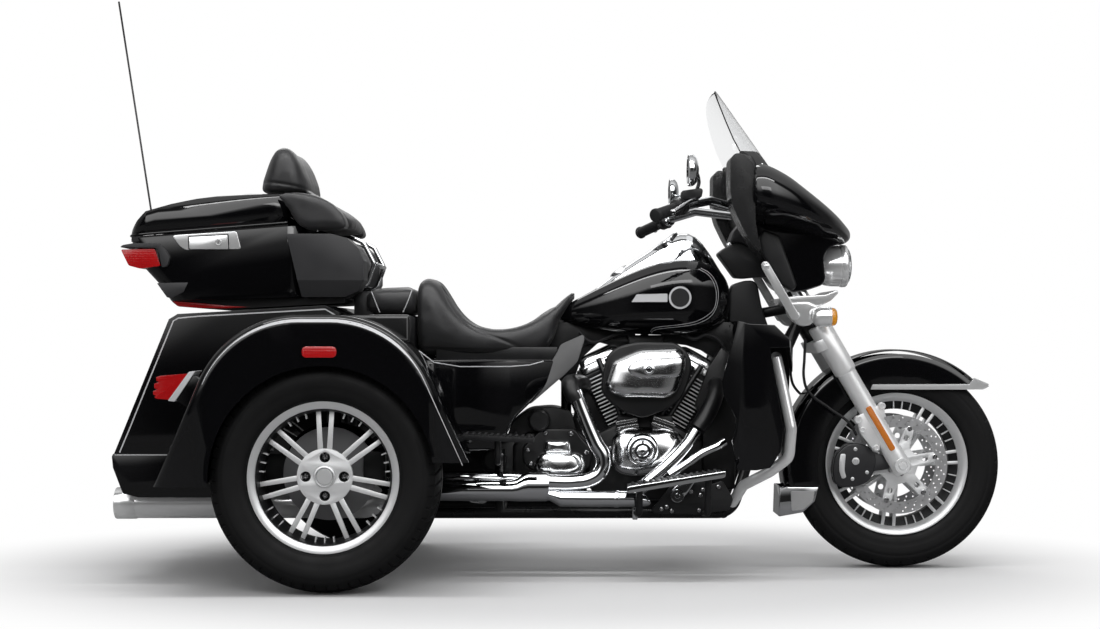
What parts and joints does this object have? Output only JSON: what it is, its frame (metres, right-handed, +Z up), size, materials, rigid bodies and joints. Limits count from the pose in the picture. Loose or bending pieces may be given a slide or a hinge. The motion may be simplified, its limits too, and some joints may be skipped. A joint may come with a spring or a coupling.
{
  "type": "motorized trike",
  "caption": "Touring motorcycle with two rear wheels, faired handlebar, twin-cylinder engine, rear trunk and top box with backrest",
  "frame": {"origin": "on the ground, midway between the foremost and the rearmost point, on the centre line", "axes": "+X is forward, +Y is the rider's left, +Z is up"},
  "size_m": [2.7558, 1.388, 1.7754],
  "materials": {
    "tyre": "matte black rubber",
    "cast_wheel": "silver cast alloy with bare machined spoke faces",
    "disc_steel": "brushed",
    "frame_black": "satin black",
    "chrome": "polished",
    "gloss_black": "gloss black lacquer with silver pinstripes",
    "caliper_black": "satin black",
    "trim_black": "fine-grained",
    "clear_screen": "clear acrylic",
    "amber_lens": "clear amber",
    "red_lens": "clear red",
    "rubber": "matte",
    "engine_black": "wrinkle black",
    "seat_black": "smooth stitched"
  },
  "bodies": {
    "chassis": {"air_filter_base": "engine_black", "air_filter_cover": "chrome", "antenna": "trim_black", "backrest_rail": "chrome", "box_carrier": "trim_black", "box_case": "gloss_black", "crankcase": "engine_black", "cylinder_front": "engine_black", "cylinder_rear": "engine_black", "engine_covers": "chrome", "engine_guard": "chrome", "exhaust": "chrome", "footboards": "trim_black", "frame": "frame_black", "fuel_tank": "gloss_black", "gearbox": "engine_black", "gearbox_cover": "chrome", "leg_shields": "gloss_black", "lumbar_pad": "seat_black", "passenger_seat": "seat_black", "primary_cover": "chrome", "rear_axle": "frame_black", "rear_fenders": "gloss_black", "rear_valance": "gloss_black", "red_lenses": "red_lens", "rider_seat": "seat_black", "side_panels": "gloss_black", "speaker_pods": "seat_black", "tail_lamps": "chrome", "tail_lenses": "red_lens", "tank_console": "chrome", "trunk_body": "gloss_black"},
    "steering": {"fork_legs": "chrome", "fork_yokes": "chrome", "fairing": "gloss_black", "dash_panel": "trim_black", "windshield": "clear_screen", "headlamp": "chrome", "signal_lamps": "chrome", "signal_lenses": "amber_lens", "handlebar": "chrome", "grips": "rubber", "hand_controls": "chrome", "mirrors": "chrome", "front_fender": "gloss_black", "fender_flap": "chrome", "front_calipers": "caliper_black"},
    "front_wheel": {"front_tyre": "tyre", "front_rim": "cast_wheel", "front_discs": "disc_steel"},
    "rear_wheel_right": {"rear_tyre_right": "tyre", "rear_rim_right": "cast_wheel"},
    "rear_wheel_left": {"rear_tyre_left": "tyre", "rear_rim_left": "cast_wheel"},
    "box_lid_body": {"box_lid": "gloss_black", "backrest_pad": "seat_black", "arm_rests": "seat_black"},
    "trunk_door_body": {"trunk_door": "gloss_black"}
  },
  "joints": [
    {"name": "steering_turn", "type": "hinge", "parent": "chassis", "child": "steering", "pos_m": [0.8176, 0, 0.7], "axis": [-0.4384, 0, 0.8988], "range_deg": [-30, 30]},
    {"name": "front_wheel_roll", "type": "hinge", "parent": "steering", "child": "front_wheel", "pos_m": [1.06, 0, 0.318], "axis": [0, 1, 0], "continuous": true},
    {"name": "rear_wheel_right_roll", "type": "hinge", "parent": "chassis", "child": "rear_wheel_right", "pos_m": [-0.62, -0.552, 0.322], "axis": [0, 1, 0], "continuous": true},
    {"name": "rear_wheel_left_roll", "type": "hinge", "parent": "chassis", "child": "rear_wheel_left", "pos_m": [-0.62, 0.552, 0.322], "axis": [0, 1, 0], "continuous": true},
    {"name": "box_lid_open", "type": "hinge", "parent": "chassis", "child": "box_lid_body", "pos_m": [-0.98, 0.3, 1.0176], "axis": [-0.9969, 0, -0.079], "range_deg": [0, 75]},
    {"name": "trunk_door_open", "type": "hinge", "parent": "chassis", "child": "trunk_door_body", "pos_m": [-1.2325, 0, 0.39254], "axis": [0, -1, 0], "range_deg": [0, 85]}
  ]
}
